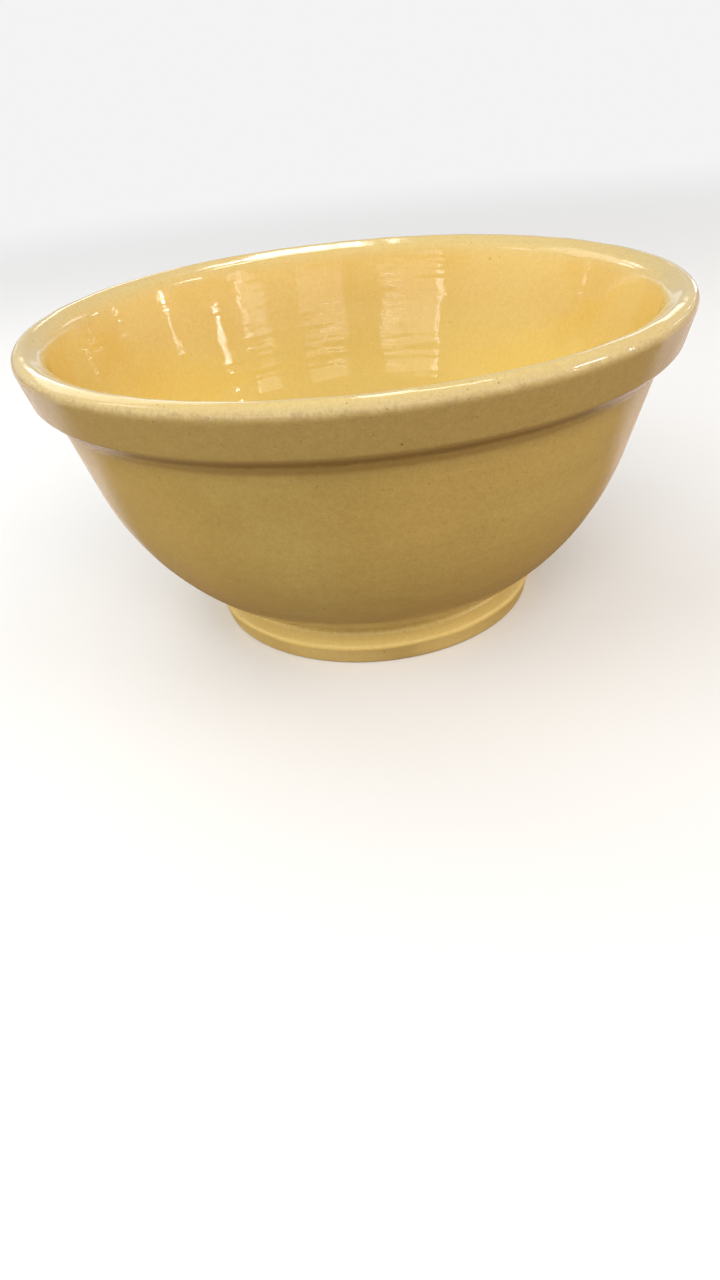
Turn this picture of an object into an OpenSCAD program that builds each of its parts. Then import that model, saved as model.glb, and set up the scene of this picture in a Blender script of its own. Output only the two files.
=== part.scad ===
// Footed stoneware mixing bowl with a heavy rolled collar at the rim.
// The clay is three parts: the thrown body, the collar and the turned foot.
// Three fired glaze coats cover them, and leave the lower foot band and the underside bare.
// Axis of revolution is Z. The bowl stands on z = 0 with the origin at the centre of its foot.

/* [Bowl] */
// Widest diameter, over the collar
rim_d = 356; // [352:1:360]
// Overall height, from the resting face to the crown of the lip
bowl_h = 175; // [173:0.5:177]
// Wall thickness, measured square to the wall and including both glaze coats
wall_t = 8.8; // [7.8:0.1:9.8]
// Height of the inside floor above the resting face
floor_z = 23; // [22:0.5:26]
// Radius of the sweep from the inside floor into the wall
floor_sweep = 60; // [54:1:62]

/* [Wall curve] */
// Lean of the straight upper wall away from upright, in degrees
flare_lean = 16; // [15.2:0.2:16.8]
// Height of the straight upper wall, below the collar
flare_h = 42; // [38:1:44]
// Diameter where the round lower wall ends and starts to turn under
turn_d = 212.4; // [211:0.2:214]
// Height where the round lower wall ends
turn_z = 30.1; // [29.5:0.1:31]
// Radius of the turn from the lower wall to the underside, which is smaller where there is less room
under_r = 24; // [18:1:26]
// Lean of the underside away from level, out from the neck
under_rise = 10; // [8:1:12]

/* [Collar and lip] */
// Height of the collar, from the crown of the lip down to the crease
collar_h = 34; // [32.5:0.5:35]
// How far the collar stands out past the wall at the crease
collar_out = 15; // [14.25:0.25:15.75]
// Height of the collar's lower edge above the crease
edge_rise = 10.2; // [9:0.1:11]
// Inward lean of the collar's outer face, going down, in degrees
face_lean = 15.5; // [13:0.5:17]
// Radius of the lip's crown and outer shoulder
lip_r = 6; // [5.5:0.1:6.3]
// Inward slope of the lip's top, in degrees
lip_slope = 28; // [25:1:31]
// Radius of the lip's inner edge
lip_inner_r = 8; // [6:0.5:8.5]
// Radius of the collar's lower edge
edge_r = 3.5; // [2.5:0.25:4.5]
// Radius of the crease between the wall and the collar
crease_r = 5; // [4:0.5:6]

/* [Foot] */
// Diameter of the foot at the resting face
foot_d = 189; // [187:0.5:190]
// Width of the foot ring at the resting face
foot_w = 12; // [11:0.5:13]
// Depth of the recess under the floor
recess = 11; // [9:0.5:12]
// Diameter over the foot's widest edge
foot_edge_d = 194.4; // [193:0.2:196]
// Height of the foot's widest edge
foot_edge_z = 12; // [11.5:0.25:12.5]
// Diameter of the neck between the foot and the wall
neck_d = 180.4; // [179:0.2:181]
// Height of the bottom of the neck
neck_z = 16; // [15.5:0.25:16.5]
// Height of the top of the neck
neck_top_z = 23.3; // [23:0.1:24]

/* [Glaze] */
// Thickness of the fired glaze
glaze_t = 0.5; // [0.4:0.05:0.6]
// Share of the bare foot band's height that stays free of glaze
bare_band = 0.8; // [0.7:0.02:0.8]

/* [Hidden] */
$fn = 180;

// Largest gap between a round stretch and its chords
chord_gap = 0.02;
// Radii of the foot's small corners
foot_edge_r = 2;
neck_bottom_r = 3;
neck_top_r = 2.5;
// Share of the straight room on each side of the turn under the wall that its rounding may take
turn_share = 0.95;
foot_corner = 1.5;
// Height where the foot ring is seated under the body, on the straight of the neck
seat_z = 18.5;
// Depth and start of the rebate in the wall that the collar sits in
rebate = 2;
rebate_drop = 2.5;
// Distance that the wall runs up inside the collar, above the crease
tongue_h = 15;
// Distance from the lip's outer round down the face to the edge of the rim glaze
rim_glaze_start = 1;
// Distance from the lip's inner corner down the wall to the edge of the rim glaze
rim_glaze_drop = 9;

clay_bare = "#c9a66b";
clay_warm = "#c8a262";
glaze_in = "#e6bd66";
glaze_rim = "#e6cd93";
glaze_out = "#bd9a58";

// ---- Path tools. A path is a list of [point, corner radius]; the clay is on its left. ----

function polar(a) = [cos(a), sin(a)];
function left_of(u) = [-u[1], u[0]];
function unit(v) = v / norm(v);
function cross_z(u, v) = u[0] * v[1] - u[1] * v[0];

// Where the line through p along u meets the line through q along v
function meet(p, u, q, v) = p + u * cross_z(q - p, v) / cross_z(u, v);

// Corner of the two tangents to a circle at angles a0 and a1
function tangent_corner(c, r, a0, a1) = c + polar((a0 + a1) / 2) * r / cos((a1 - a0) / 2);

// A path moved d into the clay, with its round corners grown or shrunk to match
function inset(path, d) = [
    for (i = [0:len(path) - 1])
        let(last = len(path) - 1)
        let(p = path[i][0])
        let(u = unit(i == 0 ? path[1][0] - p : p - path[i - 1][0]))
        let(v = unit(i == last ? p - path[i - 1][0] : path[i + 1][0] - p))
        let(bend = cross_z(u, v))
        let(moved = p + left_of(u) * d)
        abs(bend) < 1e-6
            ? [moved, 0]
            : [meet(moved, u, p + left_of(v) * d, v), path[i][1] - d * sign(bend)]
];

// Points of one round corner at p, between neighbours a and b
function round_corner(a, p, b, r) =
    let(u = unit(a - p))
    let(v = unit(b - p))
    let(half = acos(u * v) / 2)
    let(centre = p + unit(u + v) * r / sin(half))
    let(start = p + u * r / tan(half) - centre)
    let(turn = (180 - 2 * half) * sign(cross_z(p - a, b - p)))
    let(steps = ceil(abs(turn) / (2 * acos(1 - chord_gap / r))))
    let(a0 = atan2(start[1], start[0]))
    [for (k = [0:steps]) centre + r * polar(a0 + turn * k / steps)];

// Points without repeats, which arise where two round stretches touch or two paths meet
function distinct(list) = [
    for (i = [0:len(list) - 1])
        if (i == 0 || norm(list[i] - list[i - 1]) > 1e-3) list[i]
];

// Points of a path, with every corner rounded and its two ends left sharp
function trace(path) = distinct([
    for (i = [0:len(path) - 1])
        let(end = i == 0 || i == len(path) - 1)
        each end || path[i][1] <= 0
            ? [path[i][0]]
            : round_corner(path[i - 1][0], path[i][0], path[i + 1][0], path[i][1])
]);

function clay_line(path) = trace(inset(path, glaze_t));
function reversed(list) = [for (i = [len(list) - 1:-1:0]) list[i]];
function after_first(list) = [for (i = [1:len(list) - 1]) list[i]];

// ---- Outline of the glazed bowl, as radius and height ----

up_wall = [sin(flare_lean), cos(flare_lean)];
crease = [rim_d / 2 - collar_out, bowl_h - collar_h];
flare_foot = crease - up_wall * flare_h / cos(flare_lean);
neck_r = neck_d / 2;
neck_top = [neck_r, neck_top_z];

// The round lower wall carries on from the straight wall and passes through the turn
out_wall = polar(-flare_lean);
turn_at = [turn_d / 2, turn_z];
to_turn = turn_at - flare_foot;
belly_r = -(to_turn * to_turn) / (2 * to_turn * out_wall);
belly_c = flare_foot - belly_r * out_wall;
turn_a = atan2(turn_at[1] - belly_c[1], turn_at[0] - belly_c[0]);
belly = tangent_corner(belly_c, belly_r, turn_a, -flare_lean);
under = meet(neck_top, polar(under_rise), belly, polar(90 + turn_a));
neck_room = norm(under - neck_top) - neck_top_r * tan((90 - under_rise) / 2);
turn_room = min(norm(turn_at - under), neck_room);
turn_r = min(under_r, turn_share * turn_room / tan((90 + turn_a - under_rise) / 2));

lip_c = [rim_d / 2 - lip_r, bowl_h - lip_r];
lip = tangent_corner(lip_c, lip_r, -face_lean, 90 + lip_slope);
up_face = [sin(face_lean), cos(face_lean)];
edge = lip - up_face * (lip[1] - crease[1] - edge_rise) / cos(face_lean);
inner_foot = flare_foot - wall_t * out_wall;
inner_lip = meet(lip, polar(180 + lip_slope), inner_foot, up_wall);

// Inside, the round lower wall keeps the same centre and runs into the floor sweep
inner_r = belly_r - wall_t;
sweep_z = floor_z + floor_sweep;
sweep_a = -asin((belly_c[1] - sweep_z) / (inner_r - floor_sweep));
inner_belly = tangent_corner(belly_c, inner_r, sweep_a, -flare_lean);
sweep = meet(inner_belly, left_of(polar(sweep_a)), [0, floor_z], [1, 0]);

foot_r = foot_d / 2;
foot_toe = [foot_r, 0];
foot_edge = [foot_edge_d / 2, foot_edge_z];
foot_in = foot_r - foot_w;
neck_seat = [neck_r, seat_z];
glaze_end = foot_toe + (foot_edge - foot_toe) * bare_band;
collar_seat = crease - up_wall * rebate_drop / cos(flare_lean);
rim_start = lip_c + lip_r * polar(-face_lean) - up_face * rim_glaze_start;
rim_end = inner_lip - up_wall * rim_glaze_drop;

foot_path = [[glaze_end, 0], [foot_edge, foot_edge_r], [[neck_r, neck_z], neck_bottom_r], [neck_seat, 0]];
wall_path = [[neck_seat, 0], [neck_top, neck_top_r], [under, turn_r], [belly, belly_r], [collar_seat, 0]];
band_path = [[collar_seat, 0], [crease, crease_r], [edge, edge_r], [rim_start, 0]];
lip_path = [[rim_start, 0], [lip, lip_r], [inner_lip, lip_inner_r], [rim_end, 0]];
outside_path = concat(foot_path, after_first(wall_path), after_first(band_path));
inside_path = [[rim_end, 0], [inner_belly, inner_r], [sweep, floor_sweep], [[0, floor_z], 0]];

// ---- Parts ----

// A ring or a bowl turned from an outline
module turned(points) {
    rotate_extrude() polygon(distinct(points));
}

// A coat of glaze along a path, from its outer face down to the clay
module coat(path) {
    turned(concat(trace(path), reversed(clay_line(path))));
}

// Top of the wall's tongue, on the wall's inner clay face and at the back of the rebate
tongue_z = crease[1] + tongue_h;
inner_clay = inner_foot + glaze_t * out_wall;
outer_clay = flare_foot - glaze_t * out_wall;
rebate_face = outer_clay - rebate * out_wall;
tongue_in = meet(inner_clay, up_wall, [0, tongue_z], [1, 0]);
tongue_out = meet(rebate_face, up_wall, [0, tongue_z], [1, 0]);
seat_out = collar_seat - glaze_t * out_wall;
seat_in = seat_out - rebate * out_wall;

// Thrown wall and floor, with a tongue for the collar and a boss for the foot
module bowl_body() {
    inside = clay_line(inside_path);
    inside_below_tongue = [for (p = inside) if (p[1] < tongue_z) p];
    underside = [[0, recess], [foot_in, recess], [foot_in, seat_z]];
    outside = clay_line(wall_path);
    color(clay_warm)
        turned(concat(underside, outside, [seat_in, tongue_out, tongue_in], inside_below_tongue));
}

// Rolled collar and lip, seated on the wall's shoulder and over its tongue
module rim_collar() {
    band = clay_line(band_path);
    crown = clay_line(lip_path);
    color(clay_warm)
        turned(concat([seat_in], band, crown, [tongue_in, tongue_out]));
}

// Turned foot ring around the body's boss, glazed above its bare lower band
module foot_ring() {
    toe = [[foot_in, 0], foot_corner];
    heel = [foot_toe, foot_corner];
    sole = trace([[[foot_in, seat_z], 0], toe, heel, [glaze_end, 0]]);
    color(clay_bare)
        turned(concat(sole, clay_line(foot_path)));
}

// Glaze poured over the inside, from the rim down to the floor
module inner_glaze() {
    color(glaze_in) coat(inside_path);
}

// Paler glaze over the lip, between the collar's shoulder and the inside
module rim_glaze() {
    color(glaze_rim) coat(lip_path);
}

// Glaze dipped over the outside, from the foot's edge to the collar's shoulder
module outer_glaze() {
    color(glaze_out) coat(outside_path);
}

bowl_body();
rim_collar();
foot_ring();
inner_glaze();
rim_glaze();
outer_glaze();
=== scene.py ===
"""Looks of the glazed mixing bowl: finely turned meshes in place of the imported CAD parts, in metres.

Every piece is revolved from the outline of the CAD node it stands for, so it keeps that node's size and
place, to within the warp. On top of the outline it gets what a wheel and a kiln leave behind: turning
rings, a slight warp and a wavy glaze.
"""

import math

import bpy
import numpy as np
from mathutils import Matrix, Vector


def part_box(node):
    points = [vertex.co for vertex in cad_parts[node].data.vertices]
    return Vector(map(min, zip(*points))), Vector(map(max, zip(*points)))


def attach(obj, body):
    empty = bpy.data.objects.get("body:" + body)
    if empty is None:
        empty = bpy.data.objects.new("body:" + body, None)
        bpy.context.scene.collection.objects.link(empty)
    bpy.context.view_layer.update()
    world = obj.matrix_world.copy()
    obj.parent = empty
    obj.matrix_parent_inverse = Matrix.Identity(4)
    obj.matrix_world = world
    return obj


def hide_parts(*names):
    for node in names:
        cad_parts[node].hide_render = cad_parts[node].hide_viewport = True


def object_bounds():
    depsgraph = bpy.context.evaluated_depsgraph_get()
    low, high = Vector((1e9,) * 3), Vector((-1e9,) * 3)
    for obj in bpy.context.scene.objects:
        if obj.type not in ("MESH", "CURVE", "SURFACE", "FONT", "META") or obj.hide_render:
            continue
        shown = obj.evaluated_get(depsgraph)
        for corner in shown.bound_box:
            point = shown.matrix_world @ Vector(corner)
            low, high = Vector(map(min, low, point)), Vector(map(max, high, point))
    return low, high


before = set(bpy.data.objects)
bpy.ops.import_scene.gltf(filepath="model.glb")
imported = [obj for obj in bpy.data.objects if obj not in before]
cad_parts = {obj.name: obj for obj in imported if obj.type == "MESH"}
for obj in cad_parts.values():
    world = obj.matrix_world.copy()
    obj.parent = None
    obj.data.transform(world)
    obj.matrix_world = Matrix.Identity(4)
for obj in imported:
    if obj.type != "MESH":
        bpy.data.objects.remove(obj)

cad_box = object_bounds()
MM = 0.001

# ---------------------------------------------------------------- the frame
CLAY_NODES = ("bowl_body", "rim_collar", "foot_ring")
COAT_NODES = ("inner_glaze", "rim_glaze", "outer_glaze")
HEIGHT = cad_box[1].z
NECK_Z = 16 * MM
CREASE_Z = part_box("rim_collar")[0].z + 2.5 * MM
RECESS_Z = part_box("bowl_body")[0].z
GLAZE_FOOT_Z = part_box("outer_glaze")[0].z
FOOT_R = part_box("foot_ring")[1].x

# ---------------------------------------------------------------- mesh settings
TURNS = 336
VISIBLE_STEP = 1.35 * MM
HIDDEN_STEP = 8 * MM
SHARP_TURN = math.radians(28)
FINE_TURN = math.radians(5)
TOUCHING = 0.05 * MM
ON_SEAM = 1e-6
ON_AXIS = 1e-6
TINY = 1e-12
SEED = 20


def outline_of(node):
    """The node's outline as rows of (radius, height), in order, and whether it is closed.

    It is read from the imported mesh's seam, where y is 0, and runs with the material on its left.
    """
    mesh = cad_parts[node].data
    seam = {}
    for v in mesh.vertices:
        if abs(v.co.y) < ON_SEAM and v.co.x > -ON_SEAM:
            seam[v.index] = (round(v.co.x, 6), round(v.co.z, 6))
    links = {}
    for edge in mesh.edges:
        a, b = (seam.get(i) for i in edge.vertices)
        if a is not None and b is not None and a != b:
            links.setdefault(a, set()).add(b)
            links.setdefault(b, set()).add(a)
    ends = sorted(p for p, near in links.items() if len(near) == 1)
    closed = not ends
    start = ends[0] if ends else min(links)
    walk = [start]
    while True:
        ahead = [p for p in sorted(links[walk[-1]]) if len(walk) < 2 or p != walk[-2]]
        if not ahead or ahead[0] == start:
            break
        walk.append(ahead[0])
    if not closed:
        # A flat disc has no vertex at its centre, so the outline is carried on to the axis
        if walk[0][0] > 0:
            walk.insert(0, (0.0, walk[0][1]))
        if walk[-1][0] > 0:
            walk.append((0.0, walk[-1][1]))
    points = np.array(walk)
    r, z = points[:, 0], points[:, 1]
    area = np.sum(r * np.roll(z, -1) - np.roll(r, -1) * z)
    if area < 0:
        points = points[::-1]
    return points, closed


OUTLINES = {node: outline_of(node) for node in CLAY_NODES + COAT_NODES}


def touches_others(node, points):
    """For each point, whether it lies on a corner of another node's outline."""
    others = np.vstack([OUTLINES[other][0] for other in OUTLINES if other != node])
    gaps = np.linalg.norm(points[:, None] - others[None], axis=2)
    return gaps.min(axis=1) < TOUCHING


def unit(rows):
    return rows / np.maximum(np.linalg.norm(rows, axis=-1, keepdims=True), TINY)


def smooth_rows(node):
    """Rows of the turned mesh: place, normal, whether the row shows and whether it is a sharp corner.

    The last value says whether the outline is closed. Gentle bends between corners become smooth curves.
    A corner that turns more than SHARP_TURN stays sharp.
    """
    points, closed = OUTLINES[node]
    count = len(points)
    spans = count if closed else count - 1
    ahead = np.roll(points, -1, axis=0)
    length = np.linalg.norm(ahead - points, axis=1)
    direction = unit(ahead - points)
    buried = touches_others(node, points)
    before = np.roll(direction, 1, axis=0)
    before_length = np.roll(length, 1)
    bend = np.arccos(np.clip(np.sum(direction * before, axis=1), -1, 1))
    sharp = bend > SHARP_TURN
    if not closed:
        sharp[0] = sharp[-1] = True
    shared = unit(direction * length[:, None] + before * before_length[:, None])
    rows = []
    for i in range(spans):
        j = (i + 1) % count
        t0 = direction[i] if sharp[i] else shared[i]
        t1 = direction[i] if sharp[j] else shared[j]
        shows = not (buried[i] and buried[j])
        turn = math.acos(np.clip(t0 @ t1, -1, 1))
        step = VISIBLE_STEP if shows else HIDDEN_STEP
        parts = max(1, math.ceil(length[i] / step), math.ceil(turn / FINE_TURN) if shows else 1)
        for k in range(parts):
            u = k / parts
            place = (
                (2 * u**3 - 3 * u**2 + 1) * points[i]
                + (u**3 - 2 * u**2 + u) * length[i] * t0
                + (3 * u**2 - 2 * u**3) * points[j]
                + (u**3 - u**2) * length[i] * t1
            )
            along = unit((1 - u) * t0 + u * t1)
            rows.append((place, along, shows, bool(sharp[i]) and k == 0))
    if not closed:
        rows.append((points[-1], direction[spans - 1], shows, False))
    place = np.array([row[0] for row in rows])
    along = np.array([row[1] for row in rows])
    shows = np.array([row[2] for row in rows])
    corner = np.array([row[3] for row in rows])
    # A sharp row also ends the span before it, so it takes that span's direction when only that span shows
    last_shows = np.roll(shows, 1)
    borrowed = corner & last_shows & ~shows
    along[borrowed] = np.roll(along, 1, axis=0)[borrowed]
    normal = np.stack([along[:, 1], -along[:, 0]], axis=1)
    return place, normal, shows | last_shows, corner, closed


# ---------------------------------------------------------------- wheel and kiln
LEAN = 1.1 * MM
OVAL = 0.35 * MM
LIP_BEND = 0.3 * MM
LIP_WAVE = 0.12 * MM
EDGE_WAVE = 0.45 * MM

# Spacings and depth of the turning rings on each surface
OUTER_RINGS = (5.1 * MM, 7.7 * MM, 12.4 * MM)
OUTER_RING_DEPTH = 0.045 * MM
INNER_RINGS = (4.3 * MM, 6.6 * MM, 9.8 * MM)
INNER_RING_DEPTH = 0.06 * MM
SPIRAL_RINGS = (3.46 * MM, 1.73 * MM)
SPIRAL_DEPTH = 0.12 * MM
FOOT_SCRATCHES = (1.9 * MM, 2.9 * MM)
SCRATCH_DEPTH = 0.05 * MM
# Radius gained per radian, which joins the rings under the floor into one spiral
SPIRAL_RISE = 0.55 * MM

# Heights of the unevenness of the glaze, of its beaded lower edge and of the clay's grit
LUMP = 0.05 * MM
FINE_LUMP = 0.018 * MM
LIP_LUMP = 0.1 * MM
BEAD = 0.22 * MM
GRIT = 0.03 * MM


def waves(x, y, z, size, seed, count=14):
    """A smooth random field between about -1 and 1, whose lumps are about size across."""
    rng = np.random.default_rng(SEED + seed)
    total = np.zeros_like(x)
    for _ in range(count):
        axis = unit(rng.normal(size=3))
        pitch = size * rng.uniform(0.7, 1.5)
        phase = rng.uniform(0, 2 * math.pi)
        total += np.sin(2 * math.pi * (axis[0] * x + axis[1] * y + axis[2] * z) / pitch + phase)
    return total / math.sqrt(count / 2) / 1.6


def fade(value, low, high):
    """0 below low, 1 above high, smooth between."""
    t = np.clip((value - low) / (high - low), 0, 1)
    return t * t * (3 - 2 * t)


def peak(value, centre, width):
    """1 at centre, falling smoothly to 0 on both sides."""
    return np.exp(-(((value - centre) / width) ** 2))


def warp(x, y, z):
    """The bowl's slight lean and loss of round from drying and firing, and its glaze's wavy lower edge.

    It leaves the foot's resting face flat on the floor.
    """
    share = np.clip(z / HEIGHT, 0, 1.1)
    angle = np.arctan2(y, x)
    lean = -LEAN * np.sin(math.pi * np.clip(share, 0, 1)) ** 2
    oval = OVAL * share * np.cos(2 * (angle - 0.7))
    lift = share**3 * (LIP_BEND * np.cos(2 * (angle - 2.3)) + LIP_WAVE * np.cos(5 * angle + 1))
    wobble = EDGE_WAVE * waves(x, y, 0 * z, 30 * MM, 5)
    near_edge = peak(z, GLAZE_FOOT_Z, 2 * MM) * fade(np.hypot(x, y), FOOT_R - 4 * MM, FOOT_R - 1 * MM)
    return x + lean + oval * np.cos(angle), y + oval * np.sin(angle), z + lift + wobble * near_edge


def rings(x, y, z, along, sizes, depth, seed):
    """Turning rings spaced along the given coordinate, whose phase and depth drift round the bowl."""
    drift = waves(x, y, z, 180 * MM, seed)
    patch = 0.6 + 0.4 * waves(x, y, z, 90 * MM, seed + 1)
    total = np.zeros_like(along)
    for k, size in enumerate(sizes):
        total += np.sin(2 * math.pi * along / size + 2.4 * drift + 1.7 * k + seed)
    return depth * patch * total / len(sizes)


def coat_relief(x, y, z, outward):
    """How far the glaze stands above its plain outline. outward is the normal's part away from the axis."""
    wall = fade(z, 24 * MM, 40 * MM) * (1 - fade(z, HEIGHT - 16 * MM, HEIGHT - 6 * MM))
    below_collar = 1 - 0.7 * peak(z, CREASE_Z, 7 * MM)
    outside = fade(outward, 0.1, 0.5)
    inside = fade(-outward, 0.1, 0.5)
    outer = rings(x, y, z, z, OUTER_RINGS, OUTER_RING_DEPTH, 11) * below_collar
    inner = rings(x, y, z, z, INNER_RINGS, INNER_RING_DEPTH, 23)
    lumps = LUMP * waves(x, y, z, 26 * MM, 31, 20) + FINE_LUMP * waves(x, y, z, 9 * MM, 37, 24)
    lip = fade(z, HEIGHT - 14 * MM, HEIGHT - 4 * MM)
    lip_lumps = LIP_LUMP * lip * waves(x, y, z, 22 * MM, 41, 18)
    bead = BEAD * peak(z, GLAZE_FOOT_Z + 0.6 * MM, 0.8 * MM) * (z < NECK_Z)
    return wall * (outside * outer + inside * inner) + lumps + lip_lumps + bead


def clay_relief(x, y, z, outward):
    """Marks on the bare clay: a spiral under the floor, scratches round the foot band, and grit."""
    radius = np.hypot(x, y)
    under = peak(z, RECESS_Z, 1.5 * MM) * fade(-outward + 0.5, 0.0, 0.4)
    spiral = rings(x, y, z, radius + SPIRAL_RISE * np.arctan2(y, x), SPIRAL_RINGS, SPIRAL_DEPTH, 51)
    band = fade(radius, FOOT_R - 6 * MM, FOOT_R - 3 * MM) * fade(z, 0.6 * MM, 1.6 * MM)
    scratches = rings(x, y, z, z, FOOT_SCRATCHES, SCRATCH_DEPTH, 61)
    grit = GRIT * waves(x, y, z, 6 * MM, 71, 24) * fade(z, 0.5 * MM, 2 * MM)
    return under * spiral + band * scratches + grit


def turned_piece(name, node, relief, material):
    """A closed mesh revolved from the node's outline, with relief and the warp, riding on the root body."""
    place, normal, shows, corner, closed = smooth_rows(node)
    count = len(place)
    angle = np.arange(TURNS) * 2 * math.pi / TURNS
    x = place[:, :1] * np.cos(angle)
    y = place[:, :1] * np.sin(angle)
    z = np.repeat(place[:, 1:], TURNS, axis=1)
    outward = np.repeat(normal[:, :1], TURNS, axis=1)
    rise = relief(x, y, z, outward) * shows[:, None]
    x = x + rise * outward * np.cos(angle)
    y = y + rise * outward * np.sin(angle)
    z = z + rise * normal[:, 1:]
    x, y, z = warp(x, y, z)

    grid = np.arange(count * TURNS).reshape(count, TURNS)
    on_axis = [i for i in (0, count - 1) if not closed and place[i, 0] < ON_AXIS]
    for i in on_axis:
        grid[i] = grid[i, 0]
    bands = [(i, (i + 1) % count) for i in range(count if closed else count - 1)]
    faces = []
    for i, j in bands:
        for a in range(TURNS):
            b = (a + 1) % TURNS
            ring = [grid[i, a], grid[i, b], grid[j, b], grid[j, a]]
            faces.append([int(v) for k, v in enumerate(ring) if v != ring[k - 1]])
    used = sorted({v for face in faces for v in face})
    fresh = {old: new for new, old in enumerate(used)}
    points = np.stack([x, y, z], axis=-1).reshape(-1, 3)[used]
    mesh = bpy.data.meshes.new(name)
    mesh.from_pydata(points.tolist(), [], [[fresh[v] for v in face] for face in faces])
    mesh.validate()
    mesh.shade_smooth()
    sharp_rows = {fresh[int(v)] for i in np.flatnonzero(corner) if i not in on_axis for v in grid[i]}
    row_of = {fresh[int(grid[i, a])]: i for i in range(count) for a in range(TURNS)}
    for edge in mesh.edges:
        a, b = edge.vertices
        if a in sharp_rows and b in sharp_rows and row_of[a] == row_of[b]:
            edge.use_edge_sharp = True
    piece = bpy.data.objects.new(name, mesh)
    bpy.context.scene.collection.objects.link(piece)
    mesh.materials.append(material)
    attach(piece, "root")
    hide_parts(node)


# ---------------------------------------------------------------- materials
class Nodes:
    """Short calls for building a material's node tree."""

    def __init__(self, name):
        self.material = bpy.data.materials.new(name)
        self.material.use_nodes = True
        self.tree = self.material.node_tree
        self.shader = self.tree.nodes["Principled BSDF"]
        self.place = self.new("ShaderNodeTexCoord").outputs["Object"]

    def new(self, kind, **settings):
        node = self.tree.nodes.new(kind)
        for key, value in settings.items():
            setattr(node, key, value)
        return node

    def feed(self, socket, value):
        if isinstance(value, bpy.types.NodeSocket):
            self.tree.links.new(value, socket)
        else:
            socket.default_value = value

    def math(self, operation, a, b=0.0, c=0.0, clamp=False):
        node = self.new("ShaderNodeMath", operation=operation, use_clamp=clamp)
        for socket, value in zip(node.inputs, (a, b, c)):
            self.feed(socket, value)
        return node.outputs[0]

    def scaled(self, x, y, z):
        node = self.new("ShaderNodeVectorMath", operation="MULTIPLY")
        self.feed(node.inputs[0], self.place)
        self.feed(node.inputs[1], (x, y, z))
        return node.outputs[0]

    def noise(self, size, detail=3.0, roughness=0.55, stretch=(1, 1, 1)):
        """Noise from 0 to 1 with lumps about size across, longer where stretch is over 1."""
        node = self.new("ShaderNodeTexNoise")
        self.feed(node.inputs["Vector"], self.scaled(*(1 / s for s in stretch)))
        self.feed(node.inputs["Scale"], 0.5 / size)
        self.feed(node.inputs["Detail"], detail)
        self.feed(node.inputs["Roughness"], roughness)
        return node.outputs["Fac"]

    def ramp(self, value, low, high, out_low=0.0, out_high=1.0):
        node = self.new("ShaderNodeMapRange", interpolation_type="SMOOTHSTEP", clamp=True)
        self.feed(node.inputs["Value"], value)
        ends = {"From Min": low, "From Max": high, "To Min": out_low, "To Max": out_high}
        for name, number in ends.items():
            self.feed(node.inputs[name], number)
        return node.outputs["Result"]

    def mix(self, share, a, b, blend="MIX"):
        node = self.new("ShaderNodeMix", data_type="RGBA", blend_type=blend)
        self.feed(node.inputs["Factor"], share)
        self.feed(node.inputs["A"], (*a, 1) if isinstance(a, tuple) else a)
        self.feed(node.inputs["B"], (*b, 1) if isinstance(b, tuple) else b)
        return node.outputs["Result"]

    def specks(self, spacing, radius, share):
        """1 inside scattered dots: one to a cell of the given spacing, in that share of the cells."""
        node = self.new("ShaderNodeTexVoronoi", feature="F1")
        self.feed(node.inputs["Vector"], self.place)
        self.feed(node.inputs["Scale"], 1 / spacing)
        dot = self.ramp(node.outputs["Distance"], 0.45 * radius / spacing, radius / spacing, 1.0, 0.0)
        pick = self.new("ShaderNodeSeparateColor")
        self.feed(pick.inputs[0], node.outputs["Color"])
        chosen = self.math("LESS_THAN", pick.outputs[0], share)
        return self.math("MULTIPLY", dot, chosen)

    def height(self):
        node = self.new("ShaderNodeSeparateXYZ")
        self.feed(node.inputs[0], self.place)
        return node.outputs["Z"]

    def outward(self):
        """The surface normal's share away from the bowl's axis."""
        flat = self.new("ShaderNodeVectorMath", operation="NORMALIZE")
        self.feed(flat.inputs[0], self.scaled(1, 1, 0))
        dot = self.new("ShaderNodeVectorMath", operation="DOT_PRODUCT")
        self.feed(dot.inputs[0], flat.outputs[0])
        self.feed(dot.inputs[1], self.new("ShaderNodeNewGeometry").outputs["Normal"])
        return dot.outputs["Value"]

    def bump(self, height, depth, under=None):
        node = self.new("ShaderNodeBump")
        self.feed(node.inputs["Height"], height)
        self.feed(node.inputs["Distance"], depth)
        self.feed(node.inputs["Strength"], 1.0)
        if under is not None:
            self.feed(node.inputs["Normal"], under)
        return node.outputs["Normal"]

    def finish(self, colour, roughness, normal, gloss=0.5):
        self.feed(self.shader.inputs["Base Color"], colour)
        self.feed(self.shader.inputs["Roughness"], roughness)
        self.feed(self.shader.inputs["Normal"], normal)
        self.feed(self.shader.inputs["Specular IOR Level"], gloss)
        return self.material


OUTSIDE = (0.44, 0.33, 0.104)
OUTSIDE_DEEP = (0.39, 0.28, 0.08)
OUTSIDE_WARM = (0.47, 0.325, 0.1)
COLLAR_AND_SHADE = (0.34, 0.238, 0.078)
FOOT = (0.69, 0.5, 0.165)
INSIDE = (0.685, 0.487, 0.158)
INSIDE_DEEP = (0.665, 0.448, 0.12)
INSIDE_PALE = (0.64, 0.485, 0.195)
INSIDE_LOW = (0.86, 0.65, 0.188)
PALE_LIP_AND_GLOW = (0.64, 0.49, 0.22)
COLLAR_UNDERSIDE_SHADE = (0.16, 0.085, 0.014)
IRON = (0.12, 0.06, 0.02)
WORN = (0.33, 0.22, 0.12)
BARE = (0.6, 0.44, 0.16)
BARE_DARK = (0.48, 0.335, 0.115)


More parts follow.
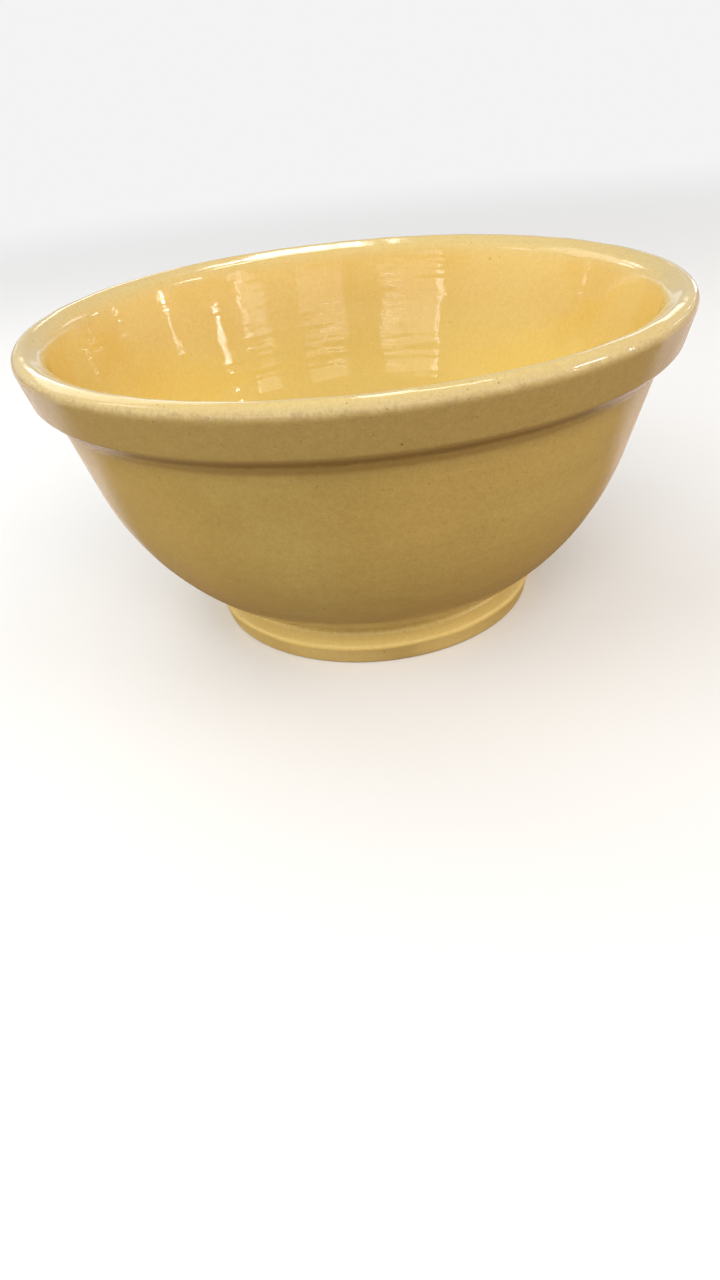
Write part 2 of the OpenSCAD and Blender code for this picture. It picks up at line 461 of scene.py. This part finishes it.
def glaze(name, side):
    """Clear glaze over speckled clay. side is "inside", "outside" or "rim", which runs between the two."""
    m = Nodes(name)
    z = m.height()
    cloud = m.noise(38 * MM, 3)
    fine = m.noise(1.6 * MM, 4, 0.6)
    streak = m.noise(14 * MM, 4, 0.6, (3, 3, 0.35))
    grain = m.noise(0.5 * MM, 2, 0.6)
    rough_z = m.math("MULTIPLY_ADD", m.math("SUBTRACT", fine, 0.5), 2 * MM, z)

    # Outside: khaki wall, deeper on the collar with painted shade on the wall just under it, darkest in a
    # painted shade band under its edge, pale on the foot
    outside = m.mix(m.ramp(cloud, 0.35, 0.65), OUTSIDE, OUTSIDE_DEEP)
    outside = m.mix(m.ramp(m.noise(70 * MM, 2), 0.4, 0.7), outside, OUTSIDE_WARM)
    outside = m.mix(m.ramp(streak, 0.35, 0.75, 0.0, 0.35), outside, OUTSIDE_DEEP)
    # Darker on the collar face, fading down the wall below it as painted shade under the collar
    collar = m.ramp(z, CREASE_Z - 9 * MM, CREASE_Z + 6 * MM)
    outside = m.mix(m.math("MULTIPLY", collar, 0.8), outside, COLLAR_AND_SHADE)
    # Painted shade: a dark band under the collar's lower edge, where its underside faces down
    collar_underside_shade = m.math(
        "MULTIPLY",
        m.ramp(rough_z, CREASE_Z + 3.4 * MM, CREASE_Z + 6.2 * MM),
        m.ramp(rough_z, CREASE_Z + 7 * MM, CREASE_Z + 9.5 * MM, 1, 0),
    )
    outside = m.mix(m.math("MULTIPLY", collar_underside_shade, 0.7), outside, COLLAR_UNDERSIDE_SHADE)
    foot = m.ramp(rough_z, NECK_Z - 1 * MM, NECK_Z + 4.5 * MM, 1, 0)
    outside = m.mix(m.math("MULTIPLY", foot, 0.9), outside, FOOT)
    # The lip is paler, partly from thinner glaze and partly as a painted highlight glow, and ends in a
    # wavy, mottled edge on the shoulder
    wavy_z = m.math("MULTIPLY_ADD", m.math("SUBTRACT", m.noise(5 * MM, 4, 0.6), 0.5), 2.2 * MM, rough_z)
    shoulder = m.ramp(wavy_z, HEIGHT - 7 * MM, HEIGHT - 2.5 * MM)
    outside = m.mix(m.math("MULTIPLY", shoulder, 0.9), outside, PALE_LIP_AND_GLOW)
    worn = m.math(
        "MULTIPLY",
        m.ramp(z, HEIGHT - 10 * MM, HEIGHT - 6 * MM),
        m.ramp(z, HEIGHT - 4 * MM, HEIGHT - 1.5 * MM, 1, 0),
    )
    mottle = m.ramp(m.noise(1.2 * MM, 4, 0.65), 0.45, 0.65, 0.0, 0.4)
    outside = m.mix(m.math("MULTIPLY", worn, mottle), outside, WORN)

    # Inside: deeper yellow, brighter low down and paler over the lip
    inside = m.mix(m.ramp(cloud, 0.4, 0.6), INSIDE, INSIDE_DEEP)
    inside = m.mix(m.ramp(streak, 0.4, 0.8, 0.0, 0.3), inside, INSIDE_DEEP)
    low_wall = m.ramp(z, 85 * MM, 150 * MM, 0.85, 0.0)
    inside = m.mix(low_wall, inside, INSIDE_LOW)
    crown = m.ramp(rough_z, HEIGHT - 13 * MM, HEIGHT - 5 * MM)
    inside = m.mix(m.math("MULTIPLY", crown, 0.75), inside, INSIDE_PALE)

    if side == "rim":
        colour = m.mix(m.ramp(m.outward(), 0.4, 0.8), inside, outside)
    else:
        colour = inside if side == "inside" else outside

    dots = m.specks(3.1 * MM, 0.42 * MM, 0.5)
    big = m.specks(13 * MM, 0.75 * MM, 0.35)
    pins = m.specks(1.7 * MM, 0.24 * MM, 0.45)
    amount = 0.3 if side == "inside" else 0.8
    colour = m.mix(m.math("MULTIPLY", dots, amount), colour, IRON)
    colour = m.mix(m.math("MULTIPLY", big, amount), colour, IRON)
    colour = m.mix(m.math("MULTIPLY", pins, 0.5 * amount), colour, IRON)
    colour = m.mix(m.ramp(fine, 0.3, 0.7, 0.0, 0.12), colour, (0.0, 0.0, 0.0), "SOFT_LIGHT")
    colour = m.mix(m.ramp(grain, 0.35, 0.65, 0.0, 0.16), colour, (1.0, 1.0, 1.0), "SOFT_LIGHT")

    low, high = {"inside": (0.04, 0.08), "rim": (0.06, 0.16), "outside": (0.14, 0.26)}[side]
    roughness = m.ramp(m.noise(11 * MM, 3), 0.3, 0.7, low, high)
    roughness = m.math("MULTIPLY_ADD", m.math("MAXIMUM", dots, pins), 0.25, roughness)
    if side == "outside":
        roughness = m.math("MAXIMUM", roughness, m.math("MULTIPLY", foot, 0.42))

    normal = m.bump(m.noise(5 * MM, 3, 0.5), 0.05 * MM)
    if side == "inside":
        # Throwing ripples and lumps, which break up the reflections
        normal = m.bump(m.noise(4 * MM, 2, 0.5, (6, 6, 1)), 0.16 * MM, normal)
        normal = m.bump(m.noise(3.2 * MM, 2, 0.5), 0.06 * MM, normal)
    normal = m.bump(m.noise(1.1 * MM, 2, 0.5), (0.03 if side == "rim" else 0.012) * MM, normal)
    pits = m.math("SUBTRACT", 1.0, m.math("MAXIMUM", pins, dots))
    normal = m.bump(pits, 0.05 * MM, normal)
    return m.finish(colour, roughness, normal)


def clay(name):
    """Bare fired clay: matte, sandy and speckled."""
    m = Nodes(name)
    cloud = m.noise(25 * MM, 4)
    sand = m.noise(0.8 * MM, 5, 0.7)
    lines = m.noise(5 * MM, 4, 0.6, (6, 6, 0.2))
    colour = m.mix(m.ramp(cloud, 0.35, 0.7), BARE, BARE_DARK)
    colour = m.mix(m.ramp(lines, 0.4, 0.7, 0.0, 0.35), colour, BARE_DARK)
    colour = m.mix(m.ramp(sand, 0.45, 0.75, 0.0, 0.5), colour, BARE_DARK)
    dots = m.specks(2.6 * MM, 0.35 * MM, 0.5)
    big = m.specks(8 * MM, 0.7 * MM, 0.35)
    colour = m.mix(m.math("MULTIPLY", m.math("MAXIMUM", dots, big), 0.7), colour, IRON)
    # Darker towards the bottom of the foot
    darker_at_bottom = m.ramp(m.math("MULTIPLY_ADD", sand, 1.5 * MM, m.height()), 0.6 * MM, 2.6 * MM, 0.5, 0.0)
    colour = m.mix(darker_at_bottom, colour, BARE_DARK)
    roughness = m.ramp(sand, 0.3, 0.7, 0.55, 0.8)
    normal = m.bump(sand, 0.12 * MM)
    normal = m.bump(lines, 0.06 * MM, normal)
    return m.finish(colour, roughness, normal, 0.35)


# ---------------------------------------------------------------- stage, light and camera
FLOOR_RADII = (0.3, 0.8, 2.0, 6.0, 20.0)
FLOOR_STEPS = 96
FLOOR_TONE = 0.88
HORIZON_TONE = 0.9
FLOOR_BOUNCE = (0.36, 0.25, 0.14)
FLOOR_MIRRORED = (0.85, 0.72, 0.68)
HORIZON_BOUNCE = 0.4
ROOM_LIGHT = 0.59


def seen_by(m, ray):
    """1 for camera, diffuse or glossy rays, as ray says, else 0."""
    return m.new("ShaderNodeLightPath").outputs[f"Is {ray} Ray"]


def studio_floor():
    """A pale round floor that fades into the pale background.

    Only the camera sees that tone. The light it throws on the bowl is darker and warmer, as from a wooden
    table, and its reflection beyond the bowl is pale again.
    """
    angles = np.arange(FLOOR_STEPS) * 2 * math.pi / FLOOR_STEPS
    points = [(0, 0, 0)] + [(r * math.cos(a), r * math.sin(a), 0) for r in FLOOR_RADII for a in angles]
    faces = [[0, 1 + a, 1 + (a + 1) % FLOOR_STEPS] for a in range(FLOOR_STEPS)]
    for row in range(len(FLOOR_RADII) - 1):
        inner = 1 + row * FLOOR_STEPS
        outer = inner + FLOOR_STEPS
        for a in range(FLOOR_STEPS):
            b = (a + 1) % FLOOR_STEPS
            faces.append([inner + a, outer + a, outer + b, inner + b])
    mesh = bpy.data.meshes.new("studio_floor")
    mesh.from_pydata(points, [], faces)
    m = Nodes("pale_floor")
    tone = m.mix(m.noise(0.4, 3), (FLOOR_TONE,) * 3, (FLOOR_TONE - 0.02,) * 3)
    beyond = m.new("ShaderNodeSeparateXYZ")
    m.feed(beyond.inputs[0], m.place)
    mirrored = m.math("MULTIPLY", seen_by(m, "Glossy"), m.ramp(beyond.outputs["Y"], 0.0, 0.1))
    bounce = m.mix(mirrored, FLOOR_BOUNCE, FLOOR_MIRRORED)
    tone = m.mix(seen_by(m, "Camera"), bounce, tone)
    mesh.materials.append(m.finish(tone, 0.6, m.bump(m.noise(4 * MM, 2), 0.05 * MM), 0.2))
    distance = m.new("ShaderNodeVectorMath", operation="LENGTH")
    m.feed(distance.inputs[0], m.place)
    far = m.ramp(distance.outputs["Value"], 0.7, 2.2)
    glow = m.new("ShaderNodeEmission")
    m.feed(glow.inputs["Color"], (HORIZON_TONE,) * 3 + (1,))
    dim = m.math("MULTIPLY", m.math("SUBTRACT", 1.0, seen_by(m, "Diffuse")), HORIZON_BOUNCE)
    m.feed(glow.inputs["Strength"], m.math("MAXIMUM", seen_by(m, "Camera"), dim))
    blend = m.new("ShaderNodeMixShader")
    m.feed(blend.inputs[0], far)
    m.tree.links.new(m.shader.outputs[0], blend.inputs[1])
    m.tree.links.new(glow.outputs[0], blend.inputs[2])
    output = m.tree.nodes["Material Output"]
    m.tree.links.new(blend.outputs[0], output.inputs["Surface"])
    floor = bpy.data.objects.new("studio_floor", mesh)
    bpy.context.scene.collection.objects.link(floor)


AIM = Vector((0, 0, 0.6 * HEIGHT))
PANEL_DISTANCE = 1.53
SKYLIGHT_DISTANCE = 1.15
ROOF_DISTANCE = 1.6


def heading(azimuth, elevation):
    """Direction from the bowl. Azimuth 0 is +Y, away from the camera, and 90 is +X. Both are in degrees."""
    a, e = math.radians(azimuth), math.radians(elevation)
    return Vector((math.sin(a) * math.cos(e), math.cos(a) * math.cos(e), math.sin(e)))


def area_light(name, azimuth, elevation, distance, width, height, watts, colour):
    light = bpy.data.lights.new(name, "AREA")
    light.shape = "RECTANGLE"
    light.size = width
    light.size_y = height
    light.energy = watts
    light.color = colour
    lamp = bpy.data.objects.new(name, light)
    lamp.location = AIM + distance * heading(azimuth, elevation)
    lamp.rotation_euler = (AIM - lamp.location).to_track_quat("-Z", "Y").to_euler()
    lamp.visible_camera = False
    bpy.context.scene.collection.objects.link(lamp)
    return lamp


def softbox(name, azimuth, elevation, distance, width, height, watts, colour=(1, 1, 1)):
    """A broad light, which doesn't show in the glaze."""
    lamp = area_light(name, azimuth, elevation, distance, width, height, watts, colour)
    lamp.visible_glossy = False


def panel(name, azimuth, elevation, wide, tall, brightness, colour=(1, 1, 1), distance=PANEL_DISTANCE):
    """A bright panel that only shows as a reflection. wide and tall are in degrees, seen from the bowl."""
    width, height = (2 * distance * math.tan(math.radians(angle / 2)) for angle in (wide, tall))
    watts = brightness * math.pi * width * height
    lamp = area_light(name, azimuth, elevation, distance, width, height, watts, colour)
    lamp.visible_diffuse = False


def studio_light():
    world = bpy.data.worlds.new("soft_room")
    world.use_nodes = True
    tree = world.node_tree
    room = tree.nodes["Background"]
    room.inputs["Color"].default_value = (1.0, 1.0, 1.0, 1)
    path = tree.nodes.new("ShaderNodeLightPath")
    share = tree.nodes.new("ShaderNodeMapRange")
    share.inputs["To Min"].default_value = ROOM_LIGHT
    share.inputs["To Max"].default_value = HORIZON_TONE
    tree.links.new(path.outputs["Is Camera Ray"], share.inputs["Value"])
    tree.links.new(share.outputs["Result"], room.inputs["Strength"])
    bpy.context.scene.world = world
    # The main light is high behind the camera, with broad fills on both sides, low in front and at the back
    softbox("key_softbox", 180, 41, 1.7, 1.2, 0.45, 10)
    softbox("fill_left", -100, 18, 1.8, 1.4, 0.9, 17, (1.0, 0.99, 0.93))
    softbox("fill_right", 100, 18, 1.8, 1.4, 0.9, 16, (1.0, 0.89, 0.76))
    softbox("fill_front", 180, 8, 1.8, 1.6, 0.3, 5)
    softbox("fill_back", -40, 48, 1.6, 1.3, 0.4, 4)
    # Windows behind the camera, from its left to its right, which show on the far inside wall
    panel("window_centre", 166, 23.2, 20, 8, 1.35)
    panel("window_left", -149.5, 22, 27, 8.5, 1.5)
    panel("window_right", 132, 20.5, 13, 6, 1.8)
    panel("window_right_post", 126, 20, 1.2, 5, 5)
    panel("window_left_post", -135.5, 20.5, 1.5, 8, 5)
    panel("window_centre_sill", 170, 19.9, 10, 0.5, 6)
    panel("window_left_sill", -161, 20.2, 6, 0.5, 6)
    panel("window_left_bar", -158, 22.2, 10, 0.5, 5)
    # Lamps at the right, which the rippled glaze breaks up into sparkles
    panel("lamp_top", 88.7, 17.3, 1.6, 1.5, 38)
    panel("lamp_strip", 89.5, 13.2, 0.5, 4, 4)
    panel("lamp_low_left", 90.3, 10.8, 1.1, 0.8, 34)
    panel("lamp_middle", 89.2, 14.6, 0.9, 0.5, 30)
    panel("lamp_middle_low", 89.3, 12.6, 0.9, 0.5, 30)
    panel("lamp_foot", 91, 9.3, 0.8, 1.4, 20)
    for k in range(4):
        panel(f"lamp_row_{k}", 113.5, 13.6 + 1.2 * k, 3.2, 0.4, 34)
    panel("lamp_far", 51, 12.4, 2.4, 0.8, 20)
    panel("lamp_far_small", 62, 11.6, 1.3, 0.8, 20)
    panel("lamp_low", 43.5, 6.7, 1, 1.5, 5)
    # Windows above, beyond and beside the bowl, which show as lines and soft patches in the lip and wall
    panel("skylight", 6, 59, 7, 7, 16, distance=SKYLIGHT_DISTANCE)
    panel("roof_window", 35, 71, 28, 4, 14, distance=ROOF_DISTANCE)
    panel("tall_window_right", 103, 27, 11, 5, 20, (0.93, 0.97, 1.0))
    panel("window_beyond_right", 30, 22, 18, 7, 2.5)
    panel("window_beyond_low", 36, 3, 5, 3, 7, (0.7, 0.87, 1.0))
    panel("window_beyond_left", -16, 27, 10, 8, 4, (1.0, 0.95, 0.97))
    panel("glow_left", -47, 36, 40, 28, 1.8)
    panel("glow_left_line", -31, 21, 10, 5, 4)
    panel("side_window_left", -60, 12.5, 3, 1.2, 3)
    panel("side_window_left_high", -89, 40, 5, 14, 5)
    panel("horizon", 0, 6, 70, 5, 0.5)


CAMERA_PLACE = Vector((0.0, -0.50701, 0.28161))
CAMERA_PITCH = math.radians(32.804)
CAMERA_YAW = math.radians(1.553)
CAMERA_ROLL = math.radians(-6.01)
CAMERA_LENS = 25.3125


def camera():
    lens = bpy.data.cameras.new("camera")
    lens.lens = CAMERA_LENS
    lens.sensor_width = 36
    lens.sensor_fit = "AUTO"
    lens.clip_start = 0.01
    lens.clip_end = 50
    view = bpy.data.objects.new("camera", lens)
    turn = Matrix.Rotation(CAMERA_YAW, 4, "Z")
    tilt = Matrix.Rotation(math.pi / 2 - CAMERA_PITCH, 4, "X")
    roll = Matrix.Rotation(CAMERA_ROLL, 4, "Z")
    view.matrix_world = Matrix.Translation(CAMERA_PLACE) @ turn @ tilt @ roll
    bpy.context.scene.collection.objects.link(view)
    bpy.context.scene.camera = view


bare_clay = clay("bare_clay")
turned_piece("clay_body", "bowl_body", clay_relief, bare_clay)
turned_piece("clay_collar", "rim_collar", clay_relief, bare_clay)
turned_piece("clay_foot", "foot_ring", clay_relief, bare_clay)
turned_piece("glaze_inside", "inner_glaze", coat_relief, glaze("glaze_inside", "inside"))
turned_piece("glaze_rim", "rim_glaze", coat_relief, glaze("glaze_rim", "rim"))
turned_piece("glaze_outside", "outer_glaze", coat_relief, glaze("glaze_outside", "outside"))
studio_floor()
studio_light()
camera()
bpy.context.scene.view_settings.view_transform = "Standard"
